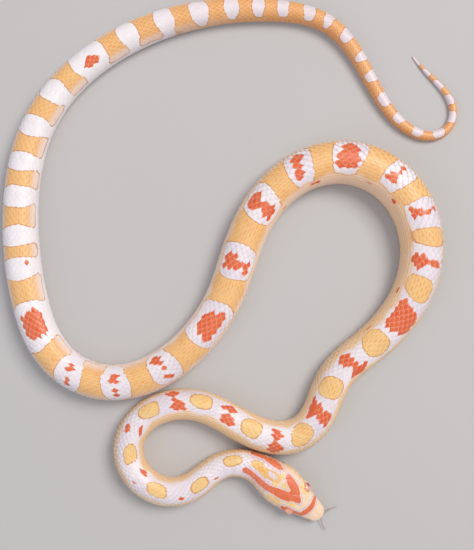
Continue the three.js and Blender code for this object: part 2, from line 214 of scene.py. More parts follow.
def on_spine(distance, side, height):
    """Points beside and above the spine. Side is towards the snake's own left."""
    distance = np.asarray(distance, float)
    heading = np.radians(np.interp(distance, spine_at, spine_heading))
    past = distance - np.clip(distance, SNOUT_FROM, BODY_END)
    x = np.interp(distance, spine_at, spine_x) + past * np.cos(heading) + side * np.sin(heading)
    y = np.interp(distance, spine_at, spine_y) + past * np.sin(heading) - side * np.cos(heading)
    return np.stack([x, y, np.broadcast_to(height, x.shape)], axis=-1)


def section(distance, angle, sink=0.0):
    """Side and height of the skin at an angle from the back's middle, sunk inwards a little."""
    up = np.cos(angle)
    over = np.abs(np.sin(angle))
    sign = np.sign(np.sin(angle))
    half = np.maximum(smooth_along(HALF_WIDTHS, distance) - sink, LEAST_HALF)
    full_height = smooth_along(HALF_WIDTHS, distance) * HEIGHT_PER_HALF_WIDTH
    full_height = np.minimum(full_height, smooth_along(NECK_HEIGHTS, distance))
    widest = full_height * WIDEST_AT
    press = np.minimum(1, BELLY_PRESS * np.abs(up) ** BELLY_POWER)
    body_top = widest + np.maximum(full_height - sink - widest, LEAST_HALF) * up
    body_low = widest - (widest - sink) * press
    body_side = half * sign * over**FLANK_POWER
    body_height = np.where(up >= 0, body_top, body_low)
    head_half = along(HEAD_STATIONS, distance, 1) - sink
    crown = along(HEAD_STATIONS, distance, 2) - sink
    chin = along(HEAD_STATIONS, distance, 3) + sink
    head_widest = along(HEAD_STATIONS, distance, 4)
    share = np.abs(up) ** HEAD_ROUNDNESS
    head_low = head_widest - (head_widest - chin) * np.minimum(1, HEAD_PRESS * share)
    head_height = np.where(up >= 0, head_widest + (crown - head_widest) * share, head_low)
    head_side = head_half * sign * over**HEAD_ROUNDNESS
    neckward = ease(distance, *HEAD_TO_NECK)
    side = head_side + (body_side - head_side) * neckward
    return side, head_height + (body_height - head_height) * neckward


def on_skin(distance, angle, sink=0.0):
    side, height = section(distance, angle, sink)
    return on_spine(distance, side, height)


# The markings
# This is an albino corn snake, without black: a lilac-white back crossed by red-orange saddles
# with ragged, scale-edged borders, and orange patches of the ground colour between them. The
# patches are ovals on the neck, barrels on the fore body and bands from there on. Each is given
# by the distance of its middle, half its length, and its middle and half its reach in degrees.
GROUND_OVALS = [
    (33.5, 2.6, 22, 24), (44.8, 3.1, -4, 24), (58.4, 3.4, 12, 28), (73.4, 3.2, 16, 26),
    (88.7, 3.2, -17, 28), (103.5, 3.2, -29, 29), (119.6, 3.5, -18, 32), (136, 3.7, -6, 38),
    (153, 3.5, -6, 40), (171.5, 4.1, -2, 42), (192.4, 3.8, 2, 42), (207.7, 2.9, 16, 48),
]
# Bands have the distance and half length only: middle and reach follow from the next two tables
GROUND_BANDS = [
    (221.4, 2.6), (234.6, 3.4), (250, 2.9), (264, 3.1), (281.2, 4.0), (299.8, 3.8), (321.6, 3.6),
    (337.4, 3.4), (352.3, 3.1), (366.8, 3.2), (388, 3.3), (399.8, 1.8), (410.3, 2.7),
    (421.8, 2.3), (432.2, 2.6), (443.9, 2.8), (455.8, 2.7), (472.3, 2.75), (483.7, 2.9),
    (495, 2.6), (505.5, 2.4), (514.3, 2.1), (522, 2.0), (529.7, 2.3), (537, 1.6), (543.3, 2.1),
    (551, 2.4), (557.7, 1.9), (565, 2.2), (573, 1.8), (580, 2.0), (587, 1.7), (594, 1.7),
    (600.6, 1.3), (606.3, 1.3), (612, 1.1), (616.6, 0.8),
]
BAND_MIDDLES = np.array([(234.6, 14), (250, 12), (264, 8), (281.2, 0)])
BAND_REACHES = np.array([
    (264, 75), (281.2, 62), (299.8, 62), (321.6, 75), (410.3, 75), (421.8, 80), (495, 80), (505.5, 90),
])
# Red marks: distance, middle angle, half length, half reach, and how much shorter the left end is
RED_MARKS = np.array([
    (39.6, -27, 1.1, 7, 0), (51.2, -16, 0.8, 9, 0), (65.5, -13, 1.0, 6, 0), (65.6, 34, 1.5, 9, 0),
    (81.2, -21, 1.5, 12, 0), (82.0, 24, 1.8, 10, 0), (95.8, -54, 1.7, 12, 0), (96.3, -30, 0.7, 16, 0),
    (96.9, -6, 2.1, 18, 0), (111.2, -46, 2.3, 11, 0), (111.5, -25, 0.8, 14, 0),
    (111.9, -3, 2.3, 19, 0), (127.5, -24, 2.1, 14, 0), (127.7, 2, 1.2, 20, 0),
    (128.0, 28, 2.2, 23, 0), (144.8, -30, 3.1, 19, 0.2), (144.4, -4, 1.6, 16, 0),
    (144.2, 15, 2.3, 19, 0), (162.0, -19, 2.1, 16, 0), (162.1, 6, 1.3, 16, 0),
    (162.4, 33, 2.8, 18, 0), (182.0, 8, 4.4, 38, 0.32), (200.0, -18, 2.6, 17, 0.2),
    (200.4, 18, 1.2, 36, 0), (215.2, -6, 1.6, 15, 0.3), (214.9, 24, 0.6, 22, 0),
    (228.3, -4, 1.9, 13, 0.2), (227.7, 28, 0.6, 26, 0), (242.4, 16, 2.75, 37, 0.45),
    (257.4, -8, 1.8, 12, 0), (257.1, 12, 1.2, 18, 0), (257.0, 33, 2.0, 17, 0),
    (272.2, -25, 2.6, 13, 0), (272.3, 2, 1.6, 20, 0), (272.5, 28, 2.8, 17, 0),
    (291.5, -29, 2.5, 12, 0), (291.2, -4, 1.4, 20, 0), (290.7, 22, 2.7, 19, 0),
    (310.9, -2, 4.4, 31, 0.2), (329.8, -31, 1.4, 10, 0), (329.6, -4, 0.5, 16, 0),
    (330.0, 31, 1.8, 17, 0), (345.3, -25, 0.7, 13, 0), (345.0, 19, 1.7, 15, 0),
    (359.3, -28, 0.9, 13, 0), (359.3, 16, 1.2, 15, 0), (377.3, 4, 4.2, 33, -0.08),
    (464.0, 15, 2.7, 15, 0), (173.2, -57, 1.5, 4, 0), (189.0, -56, 1.4, 4, 0),
    (221.5, -45, 0.8, 4, 0), (233.2, -48, 1.6, 4, 0), (254.5, -52, 1.4, 5, 0),
    (268, -66, 0.8, 4, 0), (396, 22, 0.4, 5, 0), (404.5, -16, 0.4, 4, 0), (426, 24, 0.3, 4, 0),
])
# Where the middle of the markings lies, in degrees from the top, as the body rolls a little
MARKING_MIDDLE = np.array([
    (30, 10), (45, 0), (60, 10), (76, 6), (88, -16), (100, -28), (112, -24), (124, -10), (138, -4),
    (150, -5), (165, 3), (182, 6), (200, 12), (221, 14), (245, 14), (262, 8), (280, 0),
    (500, 0), (540, -32), (620, -32),
])
# How far down from the middle of the back the white saddles reach before the streaked flank
SADDLE_REACH = np.array([
    (20, 58), (60, 46), (120, 42), (190, 46), (220, 50), (300, 54), (330, 62), (380, 76),
    (440, 74), (490, 70), (510, 72), (540, 78), (590, 82), (600, 88), (620, 95),
])
# Ovals and bands of the ground colour, and small and block-like red marks
OVAL_ROUNDNESS, BAND_ROUNDNESS = 2.4, 6.0
RED_ROUNDNESS, BLOCK_ROUNDNESS, BLOCK_REACH = 2.6, 5.0, 30
OUTLINE_INSET = 0.1
SADDLE_CORNER = 0.5
TAIL_SLANT = 0.35
TAIL_BANDS_FROM = (500, 545)
# How much longer a band is at this many degrees from its middle, and on the tail
BAND_FLARE, FLARE_TURN, FLARE_LIMIT, TAIL_FLARE = 0.28, 45, 1.4, 0.4
LEAST_LENGTH, LEAST_WIDTH = 0.2, 0.3
OUTSIDE = -9.0
GROUND_SPAN, RED_SPAN = 12, 10


def patch_edge(distance, angle, middle, half, turned, reach, roundness, flare, taper):
    """Millimetres inside the border of one patch, negative outside it. Angle is in degrees."""
    aside = (angle - turned) / reach
    spread = np.clip(aside * reach / FLARE_TURN, -FLARE_LIMIT, FLARE_LIMIT) ** 2
    length = half * (1 + flare * spread - taper * aside) - OUTLINE_INSET
    share = (np.abs(distance - middle) / np.maximum(length, LEAST_LENGTH)) ** roundness
    share = (share + np.abs(aside) ** roundness) ** (1 / roundness)
    width = np.minimum(length, np.radians(reach) * smooth_along(HALF_WIDTHS, distance))
    return (1 - share) * np.maximum(width, LEAST_WIDTH)


def patches_edge(distance, angle, patches, span):
    """The same for the patch that each place is in or nearest to."""
    edge = np.full(np.shape(distance), OUTSIDE)
    for patch in patches:
        near = np.abs(distance - patch[0]) < span
        edge[near] = np.maximum(edge[near], patch_edge(distance[near], angle[near], *patch))
    return edge


ground_shapes = [(*oval, OVAL_ROUNDNESS, 0.0, 0.0) for oval in GROUND_OVALS]
for middle, half in GROUND_BANDS:
    on_tail = ease(middle, *TAIL_BANDS_FROM)
    flare = BAND_FLARE * (1 - (1 - TAIL_FLARE) * on_tail)
    across = (along(BAND_MIDDLES, middle), along(BAND_REACHES, middle))
    ground_shapes.append((middle, half, *across, BAND_ROUNDNESS, flare, -TAIL_SLANT * on_tail))
red_shapes = [
    (middle, half, turned, reach, RED_ROUNDNESS if reach < BLOCK_REACH else BLOCK_ROUNDNESS, 0.0, taper)
    for middle, turned, half, reach, taper in RED_MARKS.tolist()
]


# Marks on the crown and nape of the head, as chains of distance, side and half width in mm
SNOUT_BAND = [
    (6.5, 3.4, 0.5), (5.95, 1.3, 0.75), (6.0, -0.3, 0.8), (6.45, -1.75, 0.8), (6.9, -2.85, 0.65),
]
SPEAR_POINT = [(10.1, 0.0, 0.6), (10.9, 0.25, 1.1), (12.4, 0.5, 1.5), (13.4, 0.55, 0.9)]
SPEAR_RIGHT = [
    (12.4, -0.25, 1.2), (13.6, -0.8, 1.35), (15.3, -1.3, 1.4), (17.2, -1.7, 1.25),
    (18.8, -2.2, 1.0), (20.6, -2.6, 1.0), (22.8, -2.5, 1.0), (25.3, -2.0, 0.85),
    (27.2, -1.4, 0.8), (29, -1.0, 1.0),
]
SPEAR_LEFT = [(12.2, 1.4, 1.1), (13.6, 2.3, 1.25), (15.7, 3.15, 1.2), (17.2, 3.75, 0.8)]
NAPE_LEFT = [
    (20.0, 4.5, 0.4), (21.2, 4.5, 0.75), (22.8, 4.4, 0.8), (24.3, 4.3, 0.6), (26, 4.2, 0.35),
    (29, 4.1, 0.3),
]
BROW_STREAK = [(7.2, -3.0, 0.45), (9.3, -3.6, 0.6), (11, -3.95, 0.7), (12.9, -4.5, 0.45)]
HEAD_RED = [SNOUT_BAND, SPEAR_POINT, SPEAR_RIGHT, SPEAR_LEFT, NAPE_LEFT, BROW_STREAK]
NAPE_OVAL = [(22.8, 0.0, 0.7), (24.4, 1.05, 1.2), (26.0, 1.6, 1.35), (27.3, 1.85, 1.1)]
CROWN_AMBER = [(19.8, 1.4, 1.35), (21.4, 1.35, 1.5), (22.8, 1.1, 1.3)]
CROWN_LILAC = [(20.3, 1.4, 0.7), (22.2, 1.4, 0.75)]
PALE_SPOTS = [
    [(14.7, 1.15, 0.6), (16.8, 1.15, 0.65)], [(19.1, -0.4, 0.8)], [(18.9, 2.8, 0.85)],
    [(10.9, -1.8, 0.8), (12.3, -2.1, 0.7)], [(10.4, 3.1, 0.7), (12.3, 3.5, 0.8)],
    [(15.0, -3.6, 0.7), (18, -4.0, 0.7)],
]

# Stretches, in distance or in degrees, over which one part of the pattern gives way to another
CROWN_MARKS_END = (27, 31)
SADDLES_CLOSE = (190, 216)
SADDLES_OPEN, SADDLES_CLOSE_AGAIN = (335, 365), (480, 510)
CROWN_REACH = 112
CHEEK_TURN, CHEEK_END = (48, 66), (24, 34)
FACE_END, FACE_CREAM = (17, 23), 0.8
SNOUT_END = (5, 9)
PALER_TURN, PALER_FROM, PALER_END = (30, 64), (300, 370), (470, 520)
TAIL_EDGE_TURN, TAIL_EDGE_PALENESS = (45, 75), 0.45
FLANK_TURN, FLANK_END = (-9, 6), (330, 375)
BELLY_TURN = (96, 116)
NECK_TO_TAIL = (40, 560)
# How far a border keeps to whole scales, and the size, pitch and seed of its wandering
RED_KEEPS, RED_WANDER = 0.75, (0.18, 1.7, 4)
GROUND_KEEPS, GROUND_WANDER = 0.12, (0.16, 6, 5)
REACH_KEEPS, REACH_WANDER = 0.3, (4, 9, 6)
# The wandering is a sum of this many waves of scattered direction and pace
WAVES, WAVE_SUM = 5, 2.2
WAVE_PACE, PACE_SCATTER = 0.6, 0.15
MM_PER_DEGREE = 0.1


def chain_edge(distance, side, chain):
    """Millimetres inside a chain of discs joined by straight tapering pieces."""
    best = np.full(np.shape(distance), OUTSIDE)
    links = list(zip(chain, chain[1:])) or [(chain[0], chain[0])]
    for (d0, s0, r0), (d1, s1, r1) in links:
        span = max((d1 - d0) ** 2 + (s1 - s0) ** 2, 1e-9)
        share = np.clip(((distance - d0) * (d1 - d0) + (side - s0) * (s1 - s0)) / span, 0, 1)
        gap = np.hypot(distance - d0 - share * (d1 - d0), side - s0 - share * (s1 - s0))
        best = np.maximum(best, r0 + share * (r1 - r0) - gap)
    return best


def chains_edge(distance, side, chains):
    return np.max([chain_edge(distance, side, chain) for chain in chains], axis=0)


def wander(distance, angle, size, pitch, seed):
    """Smooth noise of about that size, for borders that are not drawn with a compass."""
    draw = np.random.default_rng(seed)
    total = np.zeros(np.shape(distance))
    for _ in range(WAVES):
        turn, phase, stretch = draw.uniform(0, 2 * math.pi, 3)
        step = 2 * math.pi / pitch * (WAVE_PACE + PACE_SCATTER * stretch)
        across = angle * MM_PER_DEGREE * math.sin(turn)
        total += np.sin(step * (distance * math.cos(turn) + across) + phase)
    return size * (total / WAVE_SUM)


def markings(distance, angle, root_distance=None, root_angle=None):
    """The fields that colour skin and scales. Each scale may take its border from its root."""
    if root_distance is None:
        root_distance, root_angle = distance, angle
    degrees, root_degrees = np.degrees(angle), np.degrees(root_angle)
    side = section(distance, angle)[0]

    def kept(share):
        """The place that a border is read at, between a point's own and that of its scale."""
        return (
            distance * (1 - share) + root_distance * share,
            degrees * (1 - share) + root_degrees * share,
        )

    red = patches_edge(*kept(RED_KEEPS), red_shapes, RED_SPAN)
    red = red + wander(root_distance, root_degrees, *RED_WANDER)
    soft_at, soft_turn = kept(GROUND_KEEPS)
    ground = patches_edge(soft_at, soft_turn, ground_shapes, GROUND_SPAN)
    ground = ground + wander(distance, degrees, *GROUND_WANDER)
    middle = along(MARKING_MIDDLE, root_distance)
    down = np.abs(soft_turn - middle) - along(SADDLE_REACH, root_distance)
    down = down + wander(kept(REACH_KEEPS)[0], soft_turn, *REACH_WANDER)
    down_mm = np.radians(down) * smooth_along(HALF_WIDTHS, distance)
    joined = 0.5 * (ground + down_mm + np.hypot(ground - down_mm, SADDLE_CORNER))
    open_sided = ease(root_distance, *SADDLES_OPEN) * (1 - ease(root_distance, *SADDLES_CLOSE_AGAIN))
    closing = ease(root_distance, *SADDLES_CLOSE) * (1 - open_sided)
    ground = ground + (joined - ground) * closing

    headward = 1 - ease(root_distance, *CROWN_MARKS_END)
    on_crown = (np.abs(degrees) < CROWN_REACH) & (headward > 0)
    amber = chain_edge(distance, side, CROWN_AMBER)
    amber = np.minimum(amber, -chain_edge(distance, side, CROWN_LILAC))
    amber = np.maximum(amber, chain_edge(distance, side, NAPE_OVAL))
    body_only = headward <= 0.5
    cheek = ease(np.abs(degrees), *CHEEK_TURN) * (1 - ease(distance, *CHEEK_END))
    paler = ease(np.abs(degrees - middle), *PALER_TURN) * ease(distance, *PALER_FROM)
    paler = paler * (1 - ease(distance, *PALER_END))
    tail_edge = ease(-degrees, *TAIL_EDGE_TURN) * ease(distance, *PALER_END)
    return {
        "red_edge": np.maximum(
            np.where(body_only, red, OUTSIDE),
            np.where(on_crown, chains_edge(distance, side, HEAD_RED), OUTSIDE),
        ),
        "ground_edge": np.maximum(
            np.where(body_only, ground, OUTSIDE), np.where(on_crown, amber, OUTSIDE)
        ),
        "pale_edge": np.where(on_crown, chains_edge(distance, side, PALE_SPOTS), OUTSIDE),
        "flank": ease(down, *FLANK_TURN) * (1 - ease(distance, *FLANK_END)),
        "belly": ease(np.abs(degrees), *BELLY_TURN),
        "peach": (1 - ease(distance, *SNOUT_END)) * headward,
        "cheek": np.maximum(cheek, FACE_CREAM * (1 - ease(distance, *FACE_END))),
        "headward": headward,
        "paler": paler + TAIL_EDGE_PALENESS * tail_edge,
        "tailward": ease(distance, *NECK_TO_TAIL),
    }


def store_fields(mesh, fields):
    for name, values in fields.items():
        layer = mesh.attributes.new(name, "FLOAT", "POINT")
        layer.data.foreach_set("value", np.asarray(values, np.float32))


# Skin and scales as a finish
# Snake scales are folds of keratin, dry and satin, with a waxy sheen and fine lengthwise lines.
# The colour lies under a clear horn layer. It fades towards the rim of a red or yellow scale, and
# the rim of a white one is painted greyer as shade, as is a white head shield along its sutures.
# All of it comes from the fields above, which each mesh stores.
LILAC_WHITE = "#EDE3EC"
WARM_WHITE = "#F8F0F3"
BRIGHT_WHITE = "#FDF9FD"
TAIL_WHITE = "#E6D6DC"
# Painted shade: the lilac grey that white scales take at their rims and white shields along their
# sutures
LILAC_RIM_SHADE = "#D3C4D6"
LILAC_PINK = "#E8CBD6"
LILAC_HALO = "#DEC6D8"
NECK_YELLOW = "#F8D698"
NECK_AMBER = "#EBA95A"
BODY_YELLOW = "#F7C385"
BODY_ORANGE = "#EBA05A"
TAIL_YELLOW = "#ECA76C"
TAIL_ORANGE = "#E08040"
OUTLINE_BROWN = "#CB8148"
SADDLE_RED = "#E8693C"
RED_DEEP = "#DC5427"
CROWN_ORANGE = "#F0A540"
RED_RIM = "#F4A27C"
FLANK_STREAK = "#EBA050"
FLANK_CREAM = "#FBE9CC"
FLANK_GOLD = "#F3C07A"
BELLY_CREAM = "#F3E4DA"
SNOUT_PEACH = "#FCDDC0"
CHEEK_CREAM = "#F9DDB6"
CREAM_YELLOW = "#F9D48C"
PINK_CREAM = "#FDEAE4"
RIM_ON_RED = 1.5
OUTLINE_AT, HALO_AT = 0.12, -0.36
# Scale per metre and detail of the soft clouds, the mottle within a scale and the horn's grain
CLOUD, MOTTLE, GRAIN = (70.0, 2.0), (420.0, 3.0), (2600.0, 2.0)
GRAIN_STRENGTH, GRAIN_HEIGHT = 0.25, 0.00005


def mixed(tree, share, first, second):
    """Mixes two colours, each a hex value or a socket, by a socket or a number."""
    colours = [linear(c) if isinstance(c, str) else c for c in (first, second)]
    inputs = {0: share, 6: colours[0], 7: colours[1]}
    return add_node(tree, "ShaderNodeMix", inputs, data_type="RGBA").outputs[2]


def field(tree, name):
    return add_node(tree, "ShaderNodeAttribute", attribute_name=name).outputs["Fac"]


def ramp(tree, value, low, high, to_low=0.0, to_high=1.0):
    inputs = {"Value": value, "From Min": low, "From Max": high, "To Min": to_low, "To Max": to_high}
    return add_node(tree, "ShaderNodeMapRange", inputs).outputs["Result"]


def times(tree, first, second, operation="MULTIPLY"):
    return add_node(tree, "ShaderNodeMath", {0: first, 1: second}, operation=operation).outputs[0]


def away_from(tree, value, level):
    """How far a value lies from a level, to either side."""
    return times(tree, times(tree, value, level, "SUBTRACT"), 0.0, "ABSOLUTE")


def noise(tree, place, scale, detail):
    inputs = {"Vector": place, "Scale": scale, "Detail": detail}
    return add_node(tree, "ShaderNodeTexNoise", inputs).outputs["Fac"]


def marked_surface(name, roughness, rim_strength):
    """Keratin skin with the snake's markings, read from the fields stored on the mesh."""
    material = new_material(name)
    tree = material.node_tree
    mix, level, product = partial(mixed, tree), partial(ramp, tree), partial(times, tree)
    tone, keel, rim, flank, tailward, headward, ground_in, red_in = [
        field(tree, stored)
        for stored in (
            "tone", "keel", "rim", "flank", "tailward", "headward", "ground_edge", "red_edge",
        )
    ]
    place = add_node(tree, "ShaderNodeTexCoord").outputs["Object"]
    cloud, mottle, grain = [noise(tree, place, *kind) for kind in (CLOUD, MOTTLE, GRAIN)]
    edge = product(rim, rim_strength)
    streaky = product(keel, level(tone, 0.0, 1.0, 0.55, 1.0))

    # White scales, painted greyer at their rims as shade, then cheeks and streaked flanks
    white = mix(level(cloud, 0.4, 0.6), LILAC_WHITE, WARM_WHITE)
    white = mix(edge, white, LILAC_RIM_SHADE)
    white = mix(level(tailward, 0.55, 0.75, 0.0, 0.7), white, BRIGHT_WHITE)
    white = mix(level(tailward, 0.93, 1.0, 0.0, 0.9), white, TAIL_WHITE)
    white = mix(product(headward, 0.45), white, LILAC_PINK)
    base = mix(field(tree, "cheek"), white, CHEEK_CREAM)
    streak = mix(streaky, FLANK_CREAM, FLANK_STREAK)
    streak = mix(level(cloud, 0.42, 0.62, 0.0, 0.4), streak, FLANK_GOLD)
    streak = mix(level(tailward, 0.15, 0.6, 0.0, 0.9), streak, PINK_CREAM)
    base = mix(flank, base, streak)

    # Patches and bands of the ground colour, yellow at the border and more orange within
    light = mix(level(tailward, 0.0, 0.3), NECK_YELLOW, BODY_YELLOW)
    light = mix(level(tailward, 0.9, 1.0), light, TAIL_YELLOW)
    dark = mix(level(tailward, 0.0, 0.3), NECK_AMBER, BODY_ORANGE)
    dark = mix(level(tailward, 0.9, 1.0), dark, TAIL_ORANGE)
    depth = product(level(mottle, 0.35, 0.65, 0.35, 1.15), streaky)
    depth = product(depth, level(ground_in, 0.1, 1.6, 0.55, 1.0))
    ground = mix(depth, light, dark)
    ground = mix(product(level(ground_in, 0.25, 0.9, 0.1, 0.85), headward), ground, CROWN_ORANGE)
    ground = mix(edge, ground, CREAM_YELLOW)
    ground = mix(product(field(tree, "paler"), 0.8), ground, PINK_CREAM)
    ground = mix(product(flank, 0.85), ground, streak)
    base = mix(level(ground_in, -0.05, 0.05), base, ground)

    # A thin brown outline just inside each patch, fainter on the head and the flanks
    outline = level(away_from(tree, ground_in, OUTLINE_AT), 0.07, 0.19, 0.75, 0.0)
    outline = product(outline, level(cloud, 0.35, 0.5, 0.6, 1.0))
    outline = product(outline, level(headward, 0.0, 1.0, 1.0, 0.5))
    outline = product(outline, level(flank, 0.0, 1.0, 1.0, 0.4))
    base = mix(outline, base, OUTLINE_BROWN)

    # Snout, pale spots of the crown and belly, then the red marks with their lilac halo
    base = mix(field(tree, "peach"), base, SNOUT_PEACH)
    base = mix(level(field(tree, "pale_edge"), -0.15, 0.1), base, CREAM_YELLOW)
    base = mix(field(tree, "belly"), base, BELLY_CREAM)
    red = mix(level(tone, 0.2, 0.9), SADDLE_RED, RED_DEEP)
    red = mix(product(rim, rim_strength * RIM_ON_RED), red, RED_RIM)
    red = mix(product(headward, 0.25), red, RED_RIM)
    halo = product(level(away_from(tree, red_in, HALO_AT), 0.12, 0.3, 0.75, 0.0), headward)
    base = mix(halo, base, LILAC_HALO)
    base = mix(level(red_in, -0.06, 0.06), base, red)
    shade = {"Color": base, "Value": level(tone, 0.0, 1.0, 0.95, 1.03)}
    lit = add_node(tree, "ShaderNodeHueSaturation", shade).outputs["Color"]

    relief = {"Height": grain, "Strength": GRAIN_STRENGTH, "Distance": GRAIN_HEIGHT}
    bump = add_node(tree, "ShaderNodeBump", relief)
    finish_surface(tree, {
        "Base Color": lit,
        "Normal": bump.outputs["Normal"],
        "Roughness": roughness,
        "IOR": 1.5,
        "Sheen Weight": 0.08,
        "Coat Weight": 0.12,
        "Coat Roughness": 0.3,
    })
    return material


satin_scales = marked_surface("satin_keratin_scales", 0.42, 0.55)
thin_skin = marked_surface("thin_skin_between_scales", 0.6, 0.0)

# Skin of the neck, body and tail
# Under the scales lies thin elastic skin, and below the snake walks on one row of broad plates as
# wide as the belly, each overlapping the next. They are one loft here, the plates as its saw-teeth.
SKIN_DEPTH = 0.28
BELLY_PLATE_PITCH = 2.33
TAIL_PLATE_PITCH = 1.5
PLATE_DEPTH = 0.18
PLATE_RINGS = (0.02, 0.35, 0.7, 0.97)
BELLY_FROM = 108
BELLY_BLEND = 8
PLATE_SINK = 0.02
SLIM_HALF = 2.5
SKIN_SIDES = 60
SKIN_FROM = 21.5
LEAST_PLATE = 0.2
SKIN_TONE, SKIN_KEEL = 0.5, 0.4
UV_FILL = 0.98

plate_rings = []
plate_front = SKIN_FROM
while plate_front < BODY_END - LEAST_PLATE:
    pitch = BELLY_PLATE_PITCH if plate_front < VENT_AT else TAIL_PLATE_PITCH
    plate_rings += [(plate_front + pitch * share, share) for share in PLATE_RINGS]
    plate_front += pitch
plate_rings = np.array([ring for ring in plate_rings if ring[0] <= BODY_END])


def tube_faces(rings, sides, start=0):
    """Quads of a tube, ring by ring, closed by one face at each end."""
    ring = np.arange(rings - 1)[:, None] * sides
    here = np.arange(sides)[None, :]
    after = (here + 1) % sides
    quads = np.stack([ring + here, ring + after, ring + sides + after, ring + sides + here], -1)
    faces = (quads.reshape(-1, 4) + start).tolist()
    faces.append((np.arange(sides)[::-1] + start).tolist())
    faces.append((np.arange(sides) + start + (rings - 1) * sides).tolist())
    return faces


ring_angle = np.linspace(-math.pi, math.pi, SKIN_SIDES, endpoint=False)
skin_distance, skin_angle = np.meshgrid(plate_rings[:, 0], ring_angle, indexing="ij")
under = ease(np.abs(np.degrees(skin_angle)), BELLY_FROM, BELLY_FROM + BELLY_BLEND)
plate_sink = PLATE_DEPTH * (1 - plate_rings[:, 1:2])
tail_slim = np.minimum(1, smooth_along(HALF_WIDTHS, skin_distance) / SLIM_HALF)
skin_sink = (SKIN_DEPTH * (1 - under) + (PLATE_SINK + plate_sink) * under) * tail_slim
skin_points = on_skin(skin_distance, skin_angle, skin_sink).reshape(-1, 3)
body_skin = add_mesh(
    "body_skin", skin_points, tube_faces(len(plate_rings), SKIN_SIDES), thin_skin
)
fields = markings(skin_distance.ravel(), skin_angle.ravel())
fields["tone"] = np.full(len(skin_points), SKIN_TONE)
fields["keel"] = np.full(len(skin_points), SKIN_KEEL)
fields["rim"] = np.zeros(len(skin_points))
store_fields(body_skin.data, fields)


def corner_vertices(mesh):
    corner = np.empty(len(mesh.loops), np.int32)
    mesh.loops.foreach_get("vertex_index", corner)
    return corner


def unwrap_by_spine(mesh, distance, angle, first, last):
    """The OFBake map: distance across, and the way round the body up."""
    across = (np.asarray(distance) - first) / (last - first) * UV_FILL + (1 - UV_FILL) / 2
    up = np.asarray(angle) / (2 * math.pi) * UV_FILL + 0.5
    corner = corner_vertices(mesh)
    owner = np.repeat(np.arange(len(mesh.polygons)), [len(face.vertices) for face in mesh.polygons])
    highest = np.full(len(mesh.polygons), -np.inf)
    np.maximum.at(highest, owner, up[corner])
    seam = highest[owner] - up[corner] > 0.5
    layer = mesh.uv_layers.new(name="OFBake")
    layer.uv.foreach_set("vector", np.stack([across[corner], up[corner] + seam * UV_FILL], 1).ravel())


unwrap_by_spine(body_skin.data, skin_distance.ravel(), skin_angle.ravel(), SKIN_FROM, BODY_END)

# Head
# A colubrid's head is clad in large symmetrical shields that meet in fine sutures: small ones over
# the snout, one long frontal between the eyes, and two broad parietals behind. Lip shields frame
# the mouth. The outlines are those of the solid model, given by distance and side or height.
FRONTAL = [(7.3, -1.4), (7.3, 1.4), (9.6, 1.2), (12, 1.05), (13.2, 0), (12, -1.05), (9.6, -1.2)]
CROWN_SHIELDS = {
    "internasal": [(1.8, 0), (1.8, 0.85), (2.6, 1.35), (3.7, 1.6), (3.7, 0)],
    "prefrontal": [(3.7, 0), (3.7, 1.6), (4.9, 2.1), (6.9, 2.6), (7.3, 1.5), (7.3, 0)],
    "supraocular": [
        (7.3, 1.5), (7.0, 2.7), (8.8, 3.4), (11, 3.8), (12.7, 3.55), (12.1, 1.2), (9.6, 1.3),
    ],
    "parietal": [
        (13.2, 0), (12.2, 1.1), (12.7, 3.6), (14.2, 4.1), (16, 3.9), (17.7, 2.8), (18.5, 1.3),
        (18.4, 0),
    ],
}
FLANK_SHIELDS = {
    "nasal": [(1.9, 2.85), (1.9, 3.7), (3.6, 4.15), (3.6, 2.85)],
    "loreal": [(3.6, 2.85), (3.6, 4.1), (7.0, 4.65), (7.0, 2.85)],
    "preocular": [(7.0, 2.8), (7.0, 4.7), (8.3, 4.95), (8.5, 2.7)],
    "postocular_low": [(12.6, 2.85), (12.7, 4.3), (14.0, 4.4), (13.9, 3.0)],
    "postocular_high": [(12.7, 4.3), (12.7, 5.6), (14.0, 5.85), (14.0, 4.4)],
    "temporal_low": [(14.0, 3.1), (14.0, 4.6), (16.1, 4.8), (15.9, 3.5)],
    "temporal_high": [(14.0, 4.6), (14.0, 5.95), (16.2, 6.15), (16.1, 4.8)],
    "rear_temporal_low": [(16.1, 3.6), (16.2, 4.85), (18.0, 4.95), (18.0, 3.7)],
    "rear_temporal_high": [(16.2, 4.85), (16.2, 6.15), (18.2, 6.2), (18.0, 4.95)],
}
LABIAL_EDGES = [1.7, 3.1, 4.7, 6.4, 8.2, 10.1, 12.1, 14.1, 16.0]
UPPER_LIP_TOP = [(1.7, 2.75), (7, 2.75), (9, 2.35), (12.2, 2.4), (13.7, 2.9), (16, 3.45)]
LOWER_LIP_FOOT = [(1.7, 0.95), (4, 0.75), (16, 0.85)]
MOUTH_LINE = np.array([
    (0.8, 1.8), (2, 1.8), (4.5, 1.8), (9.5, 1.6), (12.2, 1.6), (14.3, 1.9), (16.2, 2.7),
])
EYE_ALONG, EYE_SIDE, EYE_HEIGHT = 10.6, 4.0, 4.3
EYE_RADIUS = 1.65
EYE_AXIS = (0.99, 0.1)
# Relief of the sutures, the shields between them and the mouth, and the places where it ends
# The third number is the half width of the band along each suture that takes the rim colour: painted
# shade on white shields, own colour on the rest
SUTURE_HALF, SUTURE_DEPTH, SUTURE_TINT_AND_SHADE = 0.1, 0.1, 0.13
SHIELD_DOME, DOME_EDGE = 0.07, 0.5
MOUTH_HALF, MOUTH_DEPTH = 0.15, 0.28
LIP_ROLL, LIP_ROLL_AT, LIP_ROLL_HALF = 0.08, 0.38, 0.22
MOUTH_FRONT_HEIGHT, MOUTH_FRONT_HALF = 1.95, 1.2
SCALES_FROM = 17.8
REAR_SINK, REAR_SINK_OVER = 0.34, 2.5
HEAD_CORE_HEIGHT = 2.9
SUTURE_STEPS, MOUTH_FRONT_STEPS, BLOCK = 40, 30, 2000
